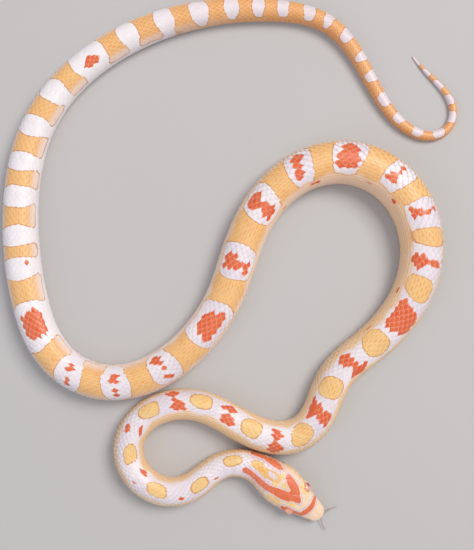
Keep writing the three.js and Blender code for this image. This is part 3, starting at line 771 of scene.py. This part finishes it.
# The head's mesh: rings crowd together on the rounded snout and then keep one step
HEAD_SIDES = 256
HEAD_FROM, HEAD_REAR = 2.0, 25.5
SNOUT_RINGS, SNOUT_REACH, SNOUT_CROWDING, HEAD_STEP = 34, 0.9, 1.5, 0.085
# Nostrils, and what rises and sinks round each eye by distance from the axis it looks along
NOSTRIL_ALONG, NOSTRIL_SIDE, NOSTRIL_HEIGHT = 2.7, 2.45, 3.45
NOSTRIL_DEPTH, NOSTRIL_RADIUS, NOSTRIL_STRETCH = 0.5, 0.3, (1, 1, 1.1)
NOSTRIL_RIM, NOSTRIL_RIM_AT, NOSTRIL_RIM_HALF = 0.1, 0.52, 0.16
BROW_AT, BROW_RADIUS, BROW_RISE, BROW_FROM = (-0.3, 3.5, 5.6), 1.5, 0.22, 1
SOCKET_RADIUS, SOCKET_DEPTH, SOCKET_POWER, EYE_REACH = 1.32, 1.1, 8, 4
HEAD_TONE, HEAD_TONE_WANDER, HEAD_KEEL = 0.5, (0.25, 3, 8), 0.5
EYE_RINGS = {"ring": (1.72, 0.2, 0.2), "swell": (1.9, 0.7, 0.25), "groove": (2.05, 0.12, -0.07)}


def angle_at_side(distance, side):
    """The angle where the head's skin has that distance from its middle line."""
    half = along(HEAD_STATIONS, distance, 1)
    share = np.clip(np.abs(side) / half, 0, 1) ** (1 / HEAD_ROUNDNESS)
    return np.sign(side) * np.arcsin(share)


def angle_at_height(distance, height):
    """The angle on the left flank where the head's skin has that height."""
    widest = along(HEAD_STATIONS, distance, 4)
    crown = along(HEAD_STATIONS, distance, 2)
    chin = along(HEAD_STATIONS, distance, 3)
    up = np.clip((height - widest) / (crown - widest), 0, 1) ** (1 / HEAD_ROUNDNESS)
    low = np.clip((widest - height) / (widest - chin) / HEAD_PRESS, 0, 1) ** (1 / HEAD_ROUNDNESS)
    return np.arccos(np.where(height >= widest, up, -low))


def suture_points(outline, to_angle, closed=True):
    """Close points on the skin along one outline, on both sides of the head."""
    points = []
    ends = outline[1:] + (outline[:1] if closed else [])
    for (d0, v0), (d1, v1) in zip(outline, ends):
        for share in np.linspace(0, 1, SUTURE_STEPS):
            distance = d0 + (d1 - d0) * share
            angle = float(to_angle(distance, v0 + (v1 - v0) * share))
            points += [on_skin(distance, angle), on_skin(distance, -angle)]
    return points


sutures = suture_points(FRONTAL, angle_at_side)
for outline in CROWN_SHIELDS.values():
    sutures += suture_points(outline, angle_at_side)
for outline in FLANK_SHIELDS.values():
    sutures += suture_points(outline, angle_at_height)
for lip in (UPPER_LIP_TOP, LOWER_LIP_FOOT):
    sutures += suture_points(lip, angle_at_height, closed=False)
    lip_table = np.array(lip)
    for edge in LABIAL_EDGES:
        ends = [(edge, float(along(lip_table, edge))), (edge, float(along(MOUTH_LINE, edge)))]
        sutures += suture_points(ends, angle_at_height, closed=False)


def nearest(points, targets):
    """Distance from each point to the nearest target, by blocks to spare memory."""
    found = np.empty(len(points))
    targets = np.asarray(targets)
    for start in range(0, len(points), BLOCK):
        block = points[start : start + BLOCK]
        spread = (block[:, None, :] - targets[None, :, :]) ** 2
        found[start : start + BLOCK] = np.sqrt(spread.sum(-1).min(1))
    return found


def bulge(away, at, half):
    """A soft ridge of height 1, at that distance away and with that half width."""
    return np.exp(-(((away - at) / half) ** 2))


def eye_place(hand):
    """The middle of one eye and the axis that it looks along."""
    centre = on_spine(EYE_ALONG, hand * EYE_SIDE, EYE_HEIGHT)
    seen = on_spine(EYE_ALONG, hand * (EYE_SIDE + EYE_AXIS[0]), EYE_HEIGHT + EYE_AXIS[1])
    return centre, unit(seen - centre)


snout_rings = SNOUT_FROM + SNOUT_REACH * np.linspace(0, 1, SNOUT_RINGS) ** SNOUT_CROWDING
head_rings = np.concatenate([snout_rings, np.arange(HEAD_FROM, HEAD_REAR, HEAD_STEP)])
head_angle = np.linspace(-math.pi, math.pi, HEAD_SIDES, endpoint=False)
head_distance, head_turn = np.meshgrid(head_rings, head_angle, indexing="ij")
rear_sink = REAR_SINK * ease(head_distance, SCALES_FROM, SCALES_FROM + REAR_SINK_OVER)
head_points = on_skin(head_distance, head_turn, rear_sink).reshape(-1, 3)
flat_distance, flat_turn = head_distance.ravel(), head_turn.ravel()
outward = unit(head_points - on_spine(flat_distance, 0, HEAD_CORE_HEIGHT))

to_suture = nearest(head_points, sutures)
in_front = 1 - ease(flat_distance, SCALES_FROM, SCALES_FROM + 1)
mouth_row = [tuple(row) for row in MOUTH_LINE if row[0] > SNOUT_FROM]
mouth_points = suture_points(mouth_row, angle_at_height, closed=False)
mouth_front = np.linspace(-MOUTH_FRONT_HALF, MOUTH_FRONT_HALF, MOUTH_FRONT_STEPS)
mouth_points += [on_spine(SNOUT_FROM, side, MOUTH_FRONT_HEIGHT) for side in mouth_front]
to_mouth = nearest(head_points, mouth_points)
relief = SHIELD_DOME * (1 - np.exp(-to_suture / DOME_EDGE)) * in_front
relief -= SUTURE_DEPTH * bulge(to_suture, 0, SUTURE_HALF) * in_front
relief -= MOUTH_DEPTH * bulge(to_mouth, 0, MOUTH_HALF)
relief += LIP_ROLL * bulge(to_mouth, LIP_ROLL_AT, LIP_ROLL_HALF)
head_points = head_points + outward * relief[:, None]

for hand in (-1, 1):
    nostril = on_spine(NOSTRIL_ALONG, hand * NOSTRIL_SIDE, NOSTRIL_HEIGHT)
    away = np.linalg.norm((head_points - nostril) * NOSTRIL_STRETCH, axis=1)
    pit = NOSTRIL_DEPTH * bulge(away, 0, NOSTRIL_RADIUS)
    pit -= NOSTRIL_RIM * bulge(away, NOSTRIL_RIM_AT, NOSTRIL_RIM_HALF)
    head_points -= outward * pit[:, None]
    eye_centre, axis = eye_place(hand)
    offset = head_points - eye_centre
    depth = offset @ axis
    apart = np.linalg.norm(offset - depth[:, None] * axis, axis=1)
    outer = (depth > 0) & (apart < EYE_REACH)
    brow = on_spine(EYE_ALONG + BROW_AT[0], hand * BROW_AT[1], BROW_AT[2])
    to_brow = np.linalg.norm(head_points - brow, axis=1)
    rise = BROW_RISE * bulge(to_brow, 0, BROW_RADIUS) * (apart > BROW_FROM)
    head_points += outward * rise[:, None]
    rise = -SOCKET_DEPTH * np.exp(-((apart / SOCKET_RADIUS) ** SOCKET_POWER))
    for at, half, height in EYE_RINGS.values():
        rise += height * bulge(apart, at, half)
    head_points += axis * np.where(outer, rise, 0)[:, None]

head_finish = marked_surface("satin_head_shields", 0.4, 0.25)
head_skin = add_mesh(
    "head_skin", head_points, tube_faces(len(head_rings), HEAD_SIDES), head_finish
)
fields = markings(flat_distance, flat_turn)
fields["tone"] = HEAD_TONE + wander(flat_distance, np.degrees(flat_turn), *HEAD_TONE_WANDER)
fields["keel"] = np.full(len(head_points), HEAD_KEEL)
# Rim mask along the sutures: painted shade on white shields, a lighter own colour on orange and red
# ones
fields["rim"] = bulge(to_suture, 0, SUTURE_TINT_AND_SHADE) * in_front
store_fields(head_skin.data, fields)
unwrap_by_spine(head_skin.data, flat_distance, flat_turn, SNOUT_FROM, HEAD_REAR)
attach(head_skin, "root")
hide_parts("head", "lower_jaw")
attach(body_skin, "root")
body_nodes = [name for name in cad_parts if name.startswith(("neck", "body_", "tail_"))]
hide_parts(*body_nodes)

# Eyes
# Each eye is a ball behind one clear fixed scale. Without black pigment the round pupil is deep
# red and the iris orange-pink. The ball is glossy, and its colours follow the angle from the axis.
EYE_RED, IRIS_INNER, IRIS_OUTER, SCLERA_PINK = "#8A1A26", "#E5936C", "#F0B8A2", "#E5A894"
PUPIL_EDGE, IRIS_SPAN, IRIS_END = (0.46, 0.54), (0.5, 1.0), (1.05, 1.4)
EYE_LEANS, EYE_TURNS, POLE_LEAN = 40, 64, 0.02
eye_finish = new_material("glossy_red_eye")
eye_tree = eye_finish.node_tree
from_pupil = field(eye_tree, "from_pupil")
iris = mixed(eye_tree, ramp(eye_tree, from_pupil, *IRIS_SPAN), IRIS_INNER, IRIS_OUTER)
iris = mixed(eye_tree, ramp(eye_tree, from_pupil, *IRIS_END), iris, SCLERA_PINK)
eye_colour = mixed(eye_tree, ramp(eye_tree, from_pupil, *PUPIL_EDGE), EYE_RED, iris)
finish_surface(eye_tree, {
    "Base Color": eye_colour, "Roughness": 0.25, "Coat Weight": 1.0, "Coat Roughness": 0.04,
})


def add_eye(name, hand):
    """A ball of rings about the axis that the eye looks along."""
    centre, axis = eye_place(hand)
    first = unit(np.cross(axis, [0, 0, 1]))
    second = np.cross(axis, first)
    lean = np.linspace(POLE_LEAN, math.pi - POLE_LEAN, EYE_LEANS)
    turn = np.linspace(0, 2 * math.pi, EYE_TURNS, endpoint=False)
    lean_grid, turn_grid = [grid.ravel()[:, None] for grid in np.meshgrid(lean, turn, indexing="ij")]
    ring = np.cos(turn_grid) * first + np.sin(turn_grid) * second
    points = centre + EYE_RADIUS * (np.cos(lean_grid) * axis + np.sin(lean_grid) * ring)
    eye = add_mesh(name, points, tube_faces(len(lean), len(turn)), eye_finish)
    store_fields(eye.data, {"from_pupil": lean_grid.ravel()})
    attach(eye, "root")
    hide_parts(name.replace("glossy_", ""))


add_eye("glossy_eye_left", 1)
add_eye("glossy_eye_right", -1)

# Tongue
# The forked tongue slides out through a notch in the upper lip. It is soft and wet, pale pinkish
# grey, flat at its stem, and its two tines curve apart and taper to fine points.
TONGUE_STEM = [(-1.2, 0.1, 1.72), (0.05, 0.15, 1.6)]
TONGUE_LEFT = [(0, 0.15, 1.6), (0.35, 1.2, 1.5), (1.05, 3.2, 1.3), (2.3, 5, 0.95)]
TONGUE_RIGHT = [(0, 0.15, 1.6), (0.5, -0.75, 1.5), (1.9, -1.8, 1.25), (3.95, -2.75, 0.9)]
TONGUE_WIDTH, TINE_WIDTH, TINE_TIP, TONGUE_FLATNESS = 0.62, 0.8, 0.24, 0.55
TINE_RINGS, TINE_SIDES = 30, 12
TONGUE_PINK = "#B79C9C"
tongue_finish = new_material("wet_pinkish_grey_tongue")
finish_surface(tongue_finish.node_tree, {
    "Base Color": linear(TONGUE_PINK), "Roughness": 0.35, "Coat Weight": 0.4,
})


def tine(route, wide, narrow, start):
    """Points and faces of a tapering tube along a smooth route, given ahead, left and up."""
    knots = np.array(route)
    places = np.linspace(0, len(knots) - 1, TINE_RINGS)
    low = np.clip(places.astype(int), 0, len(knots) - 2)
    share = (places - low)[:, None]
    before = knots[np.maximum(low - 1, 0)]
    beyond = knots[np.minimum(low + 2, len(knots) - 1)]
    here, after = knots[low], knots[low + 1]
    curve = 0.5 * (
        2 * here
        + (after - before) * share
        + (2 * before - 5 * here + 4 * after - beyond) * share**2
        + (3 * here - before - 3 * after + beyond) * share**3
    )
    centre = on_spine(SNOUT_FROM - curve[:, 0], curve[:, 1], curve[:, 2])
    ahead = unit(np.gradient(centre, axis=0))
    aside = unit(np.cross(ahead, [0, 0, 1.0]))
    above = np.cross(aside, ahead)
    half = np.linspace(wide, narrow, len(centre))[:, None, None] / 2
    turn = np.linspace(0, 2 * math.pi, TINE_SIDES, endpoint=False)[None, :, None]
    points = centre[:, None] + half * (
        np.cos(turn) * aside[:, None] + TONGUE_FLATNESS * np.sin(turn) * above[:, None]
    )
    return points.reshape(-1, 3), tube_faces(len(centre), TINE_SIDES, start)


tongue_points, tongue_faces = tine(TONGUE_STEM, TONGUE_WIDTH, TONGUE_WIDTH, 0)
for route in (TONGUE_LEFT, TONGUE_RIGHT):
    more_points, more_faces = tine(route, TONGUE_WIDTH * TINE_WIDTH, TINE_TIP, len(tongue_points))
    tongue_points = np.vstack([tongue_points, more_points])
    tongue_faces += more_faces
wet_tongue = add_mesh("wet_tongue", tongue_points, tongue_faces, tongue_finish)
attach(wet_tongue, "root")
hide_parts("tongue")

# Scales of the back, flanks and tail
# The body wears 27 rows of lozenge scales at mid-length, in quincunx, each a thin horny plate that
# overlaps the next behind it and bears a faint keel. Rows drop out in pairs towards the neck and
# tail. One scale is modelled and spread over a lattice of points that lies on the skin.
ROW_COUNT = 27
LOWEST_ROW = 116
SCALE_PITCH = np.array([
    (17, 1.35), (24, 1.5), (34, 1.7), (60, 1.95), (120, 2.15), (200, 2.3), (330, 2.3),
    (480, 2.1), (524, 1.75), (560, 1.4), (590, 1.1), (620, 0.85),
])
SCALE_OVERLAP = 1.42
SCALE_SPREAD = 1.1
SCALE_LIFT = 0.21
SCALE_ARCH = 0.15
KEEL_RISE = 0.05
SIZE_SCATTER, TONE_SPREAD, SCATTER_SEED = (0.97, 1.03), 2.2, 21
THICK_HALF = 4
# Pairs of rows, counted up from the belly, thin out to nothing at these distances towards the
# tail, and others begin at these behind the head, as fewer fit round the neck
ROW_ENDS = {6: 430, 4: 490, 8: 535, 10: 562, 2: 595}
ROW_STARTS = {5: 40, 9: 24}
ROW_FADE = 8.0
LOWEST_WIDTH, THINNEST_ROW = 1.25, 0.45
FINE_STEP, FAN_ANGLES, STEP = 0.1, 233, 0.02
# The scales' front edge is bowed over the crown and lies further back at the corner of the mouth
CROWN_EDGE, CROWN_BOW, CROWN_BOWS = 17.4, 1.1, 1.5
LIP_CORNER_TURN, LIP_CORNER_END = 82, 18.5
CROWDING_LIMITS = (0.55, 1.5)
# One scale by share of its length: half width there, and the places across it by share of that
TEMPLATE_HALVES = {0: 0.26, 0.14: 0.41, 0.34: 0.5, 0.55: 0.475, 0.74: 0.36, 0.89: 0.19, 1.0: 0.02}
TEMPLATE_ACROSS = (-1, -0.55, 0, 0.55, 1)
LIFT_POWER, RIM_POWER = 0.8, 3
TIP_DROP, TIP_FROM, RIM_FROM = 0.05, 0.85, 0.7
KEEL_FROM, KEEL_TO = (0.02, 0.3), (0.8, 1)
KEEL_HALF = 0.55
# The share of a scale's length where its marking is read, and the side of its patch in the map
BORDER_READ_AT = 0.55
PATCH = 0.003
COAT_UV_START = 0.008


def row_weights(distance):
    """Relative width of every row at each distance, from the right side of the belly round."""
    weights = np.ones((len(distance), ROW_COUNT))
    for row, end in ROW_ENDS.items():
        share = 1 - ease(distance, end - ROW_FADE, end + ROW_FADE)
        weights[:, [row, -1 - row]] *= share[:, None]
    for row, begin in ROW_STARTS.items():
        share = ease(distance, begin - ROW_FADE, begin + ROW_FADE)
        weights[:, [row, -1 - row]] *= share[:, None]
    weights[:, [0, -1]] *= LOWEST_WIDTH
    return weights


def lattice():
    """Distance, angle and width of every scale's root."""
    fine_at = np.arange(SCALES_FROM, BODY_END, FINE_STEP)
    steps = FINE_STEP / along(SCALE_PITCH, fine_at)
    count_at = np.append(0, np.cumsum(steps))[:-1]
    counts = np.arange(0, count_at[-1], 0.5)
    station = np.interp(counts, count_at, fine_at)
    fan = np.radians(np.linspace(-LOWEST_ROW, LOWEST_ROW, FAN_ANGLES))
    grid_at, grid_turn = np.meshgrid(station, fan, indexing="ij")
    side, height = section(grid_at, grid_turn)
    lengths = np.hypot(np.diff(side, axis=1), np.diff(height, axis=1))
    reach = np.concatenate([np.zeros((len(station), 1)), np.cumsum(lengths, axis=1)], axis=1)
    weights = row_weights(station)
    widths = weights / weights.sum(1, keepdims=True) * reach[:, -1:]
    centres = np.cumsum(widths, axis=1) - widths / 2
    roots = []
    for index in range(len(station)):
        rows = np.arange(index % 2, ROW_COUNT, 2)
        rows = rows[weights[index, rows] > THINNEST_ROW]
        angle = np.interp(centres[index, rows], reach[index], fan)
        roots += [(station[index], *root) for root in zip(angle, widths[index, rows])]
    return np.array(roots)


roots = lattice()
crown_start = CROWN_EDGE + CROWN_BOW * (1 - np.abs(np.cos(roots[:, 1] * CROWN_BOWS)))
lip_corner = np.degrees(np.abs(roots[:, 1])) > LIP_CORNER_TURN
roots = roots[(roots[:, 0] > crown_start) & ~(lip_corner & (roots[:, 0] < LIP_CORNER_END))]
root_at, root_turn, root_width = roots.T
scatter = np.random.default_rng(SCATTER_SEED)
pitch = along(SCALE_PITCH, root_at)
root_side, _ = section(root_at, root_turn)
bend = np.radians(along(BENDS, root_at))
crowding = np.clip(1 - bend * root_side, *CROWDING_LIMITS)
root_half = smooth_along(HALF_WIDTHS, root_at)
thick = np.minimum(1, root_half / THICK_HALF)
rest_sink = SKIN_DEPTH * np.minimum(1, root_half / SLIM_HALF)


def root_place(distance_shift=0.0, angle_shift=0.0):
    return on_skin(root_at + distance_shift, root_turn + angle_shift, rest_sink)


round_way = root_place(angle_shift=STEP) - root_place(angle_shift=-STEP)
mm_per_radian = np.linalg.norm(round_way, axis=1) / (2 * STEP)
forward = unit(root_place(STEP) - root_place(-STEP))
facing = unit(np.cross(forward, -round_way))
across = np.cross(facing, forward)


def euler_angles(x_axis, y_axis, z_axis):
    """XYZ Euler angles of frames given by their axes."""
    pitch_turn = -np.arcsin(np.clip(x_axis[:, 2], -1, 1))
    roll_turn = np.arctan2(y_axis[:, 2], z_axis[:, 2])
    yaw_turn = np.arctan2(x_axis[:, 1], x_axis[:, 0])
    return np.stack([roll_turn, pitch_turn, yaw_turn], axis=-1)


scale_length = pitch * SCALE_OVERLAP * crowding * scatter.uniform(*SIZE_SCATTER, len(roots))
scale_width = 2 * root_width * SCALE_SPREAD * scatter.uniform(*SIZE_SCATTER, len(roots))
scale_turn = euler_angles(forward, across, facing)
scale_tone = scatter.beta(TONE_SPREAD, TONE_SPREAD, len(roots))
root_points = root_place()


def scale_template():
    """One scale, one unit long and wide, root at the origin and tip along X, with its keel."""
    points, rims, keels = [], [], []
    for ahead, half in TEMPLATE_HALVES.items():
        ridge = KEEL_RISE * ease(ahead, *KEEL_FROM) * (1 - ease(ahead, *KEEL_TO))
        lift = SCALE_LIFT * (ahead**LIFT_POWER) - TIP_DROP * ease(ahead, TIP_FROM, 1)
        for share in TEMPLATE_ACROSS:
            arch = -SCALE_ARCH * (2 * half * share) ** 2
            points.append((ahead, half * share, lift + arch + ridge * (share == 0)))
            # The rim mask: white scales are painted greyer there as shade, coloured ones lighter in
            # their own colour
            rims.append(max(abs(share) ** RIM_POWER, ease(ahead, RIM_FROM, 1)))
            keels.append(1 - min(1, abs(share) / KEEL_HALF))
    wide = len(TEMPLATE_ACROSS)
    faces = [
        (row * wide + col, (row + 1) * wide + col, (row + 1) * wide + col + 1, row * wide + col + 1)
        for row in range(len(TEMPLATE_HALVES) - 1)
        for col in range(wide - 1)
    ]
    piece = add_mesh("one_scale", points, faces, satin_scales)
    piece.data.transform(Matrix.Scale(1 / MM, 4))
    unit_x, unit_y, _ = zip(*points)
    store_fields(piece.data, {"rim": rims, "keel": keels, "unit_x": unit_x, "unit_y": unit_y})
    piece.hide_render = True
    piece.hide_viewport = True
    return piece


template = scale_template()


def coat_tree():
    """Geometry nodes that set one scale on every point, sized and turned by the point's fields."""
    tree = bpy.data.node_groups.new("scale_coat", "GeometryNodeTree")
    for name, way, kind in (
        ("Roots", "INPUT", "Geometry"), ("Scale", "INPUT", "Object"), ("Finish", "INPUT", "Material"),
        ("Coat", "OUTPUT", "Geometry"),
    ):
        tree.interface.new_socket(name, in_out=way, socket_type="NodeSocket" + kind)
    given = add_node(tree, "NodeGroupInput")
    shape = add_node(tree, "GeometryNodeObjectInfo", {"Object": given.outputs["Scale"]})
    turn, size = [
        add_node(tree, "GeometryNodeInputNamedAttribute", {"Name": name}, data_type="FLOAT_VECTOR")
        for name in ("turn", "size")
    ]
    to_turn = add_node(tree, "FunctionNodeEulerToRotation", {"Euler": turn.outputs["Attribute"]})
    placed = add_node(tree, "GeometryNodeInstanceOnPoints", {
        "Points": given.outputs["Roots"],
        "Instance": shape.outputs["Geometry"],
        "Rotation": to_turn.outputs["Rotation"],
        "Scale": size.outputs["Attribute"],
    })
    real = add_node(tree, "GeometryNodeRealizeInstances", {"Geometry": placed.outputs["Instances"]})
    finish = {"Geometry": real.outputs["Geometry"], "Material": given.outputs["Finish"]}
    painted = add_node(tree, "GeometryNodeSetMaterial", finish)
    add_node(tree, "NodeGroupOutput", {"Coat": painted.outputs["Geometry"]})
    return tree


coat_nodes = coat_tree()


def read_field(mesh, name):
    """A stored field as numbers, and gone from the mesh: the finish has no use for it."""
    values = np.empty(len(mesh.vertices), np.float32)
    mesh.attributes[name].data.foreach_get("value", values)
    mesh.attributes.remove(mesh.attributes[name])
    return values.astype(float)


def add_coat(name, chosen):
    """Realises the scales of one stretch of the body and stores their markings."""
    bed = bpy.data.meshes.new(name + "_roots")
    bed.from_pydata((root_points[chosen] * MM).tolist(), [], [])
    size = np.stack([scale_length, scale_width, thick], axis=1)[chosen] * MM
    for key, values in (("turn", scale_turn[chosen]), ("size", size)):
        layer = bed.attributes.new(key, "FLOAT_VECTOR", "POINT")
        layer.data.foreach_set("vector", values.astype(np.float32).ravel())
    store_fields(bed, {
        "tone": scale_tone[chosen],
        "root_at": root_at[chosen],
        "root_turn": root_turn[chosen],
        "at_per_unit": (scale_length / crowding)[chosen],
        "turn_per_unit": (scale_width / mm_per_radian)[chosen],
    })
    holder = bpy.data.objects.new(name + "_roots", bed)
    scene.collection.objects.link(holder)
    modifier = holder.modifiers.new("coat", "NODES")
    modifier.node_group = coat_nodes
    sockets = {item.name: item.identifier for item in coat_nodes.interface.items_tree}
    modifier[sockets["Scale"]] = template
    modifier[sockets["Finish"]] = satin_scales
    depsgraph = bpy.context.evaluated_depsgraph_get()
    mesh = bpy.data.meshes.new_from_object(holder.evaluated_get(depsgraph), depsgraph=depsgraph)
    bpy.data.objects.remove(holder)
    mesh.name = name
    mesh.shade_smooth()
    piece = bpy.data.objects.new(name, mesh)
    scene.collection.objects.link(piece)

    of_root_at, of_root_turn, at_per_unit, turn_per_unit, unit_x, unit_y = [
        read_field(mesh, used)
        for used in ("root_at", "root_turn", "at_per_unit", "turn_per_unit", "unit_x", "unit_y")
    ]
    own_at = of_root_at + unit_x * at_per_unit
    own_turn = of_root_turn - unit_y * turn_per_unit
    border_at = of_root_at + BORDER_READ_AT * at_per_unit
    store_fields(mesh, markings(own_at, own_turn, border_at, of_root_turn))
    first, last = root_at[chosen].min(), root_at[chosen].max()
    root_u = (of_root_at - first) / (last - first) * UV_FILL + COAT_UV_START
    root_v = of_root_turn / (2 * math.pi) * UV_FILL + 0.5
    patch = np.stack([root_u + PATCH * (unit_x - 0.5), root_v - PATCH * unit_y], 1)
    layer = mesh.uv_layers.new(name="OFBake")
    layer.uv.foreach_set("vector", patch[corner_vertices(mesh)].astype(np.float32).ravel())
    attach(piece, "root")


COAT_PIECES = {
    "nape_scales": (0, 60, "head_scales"),
    "fore_scales": (60, 200, "body_scales"),
    "middle_scales": (200, 340, "body_scales"),
    "hind_scales": (340, VENT_AT, "body_scales"),
    "tail_scales": (VENT_AT, BODY_END + 1, "tail_scales"),
}
for name, (first, last, slot) in COAT_PIECES.items():
    add_coat(name, (root_at >= first) & (root_at < last))
bpy.data.objects.remove(template)
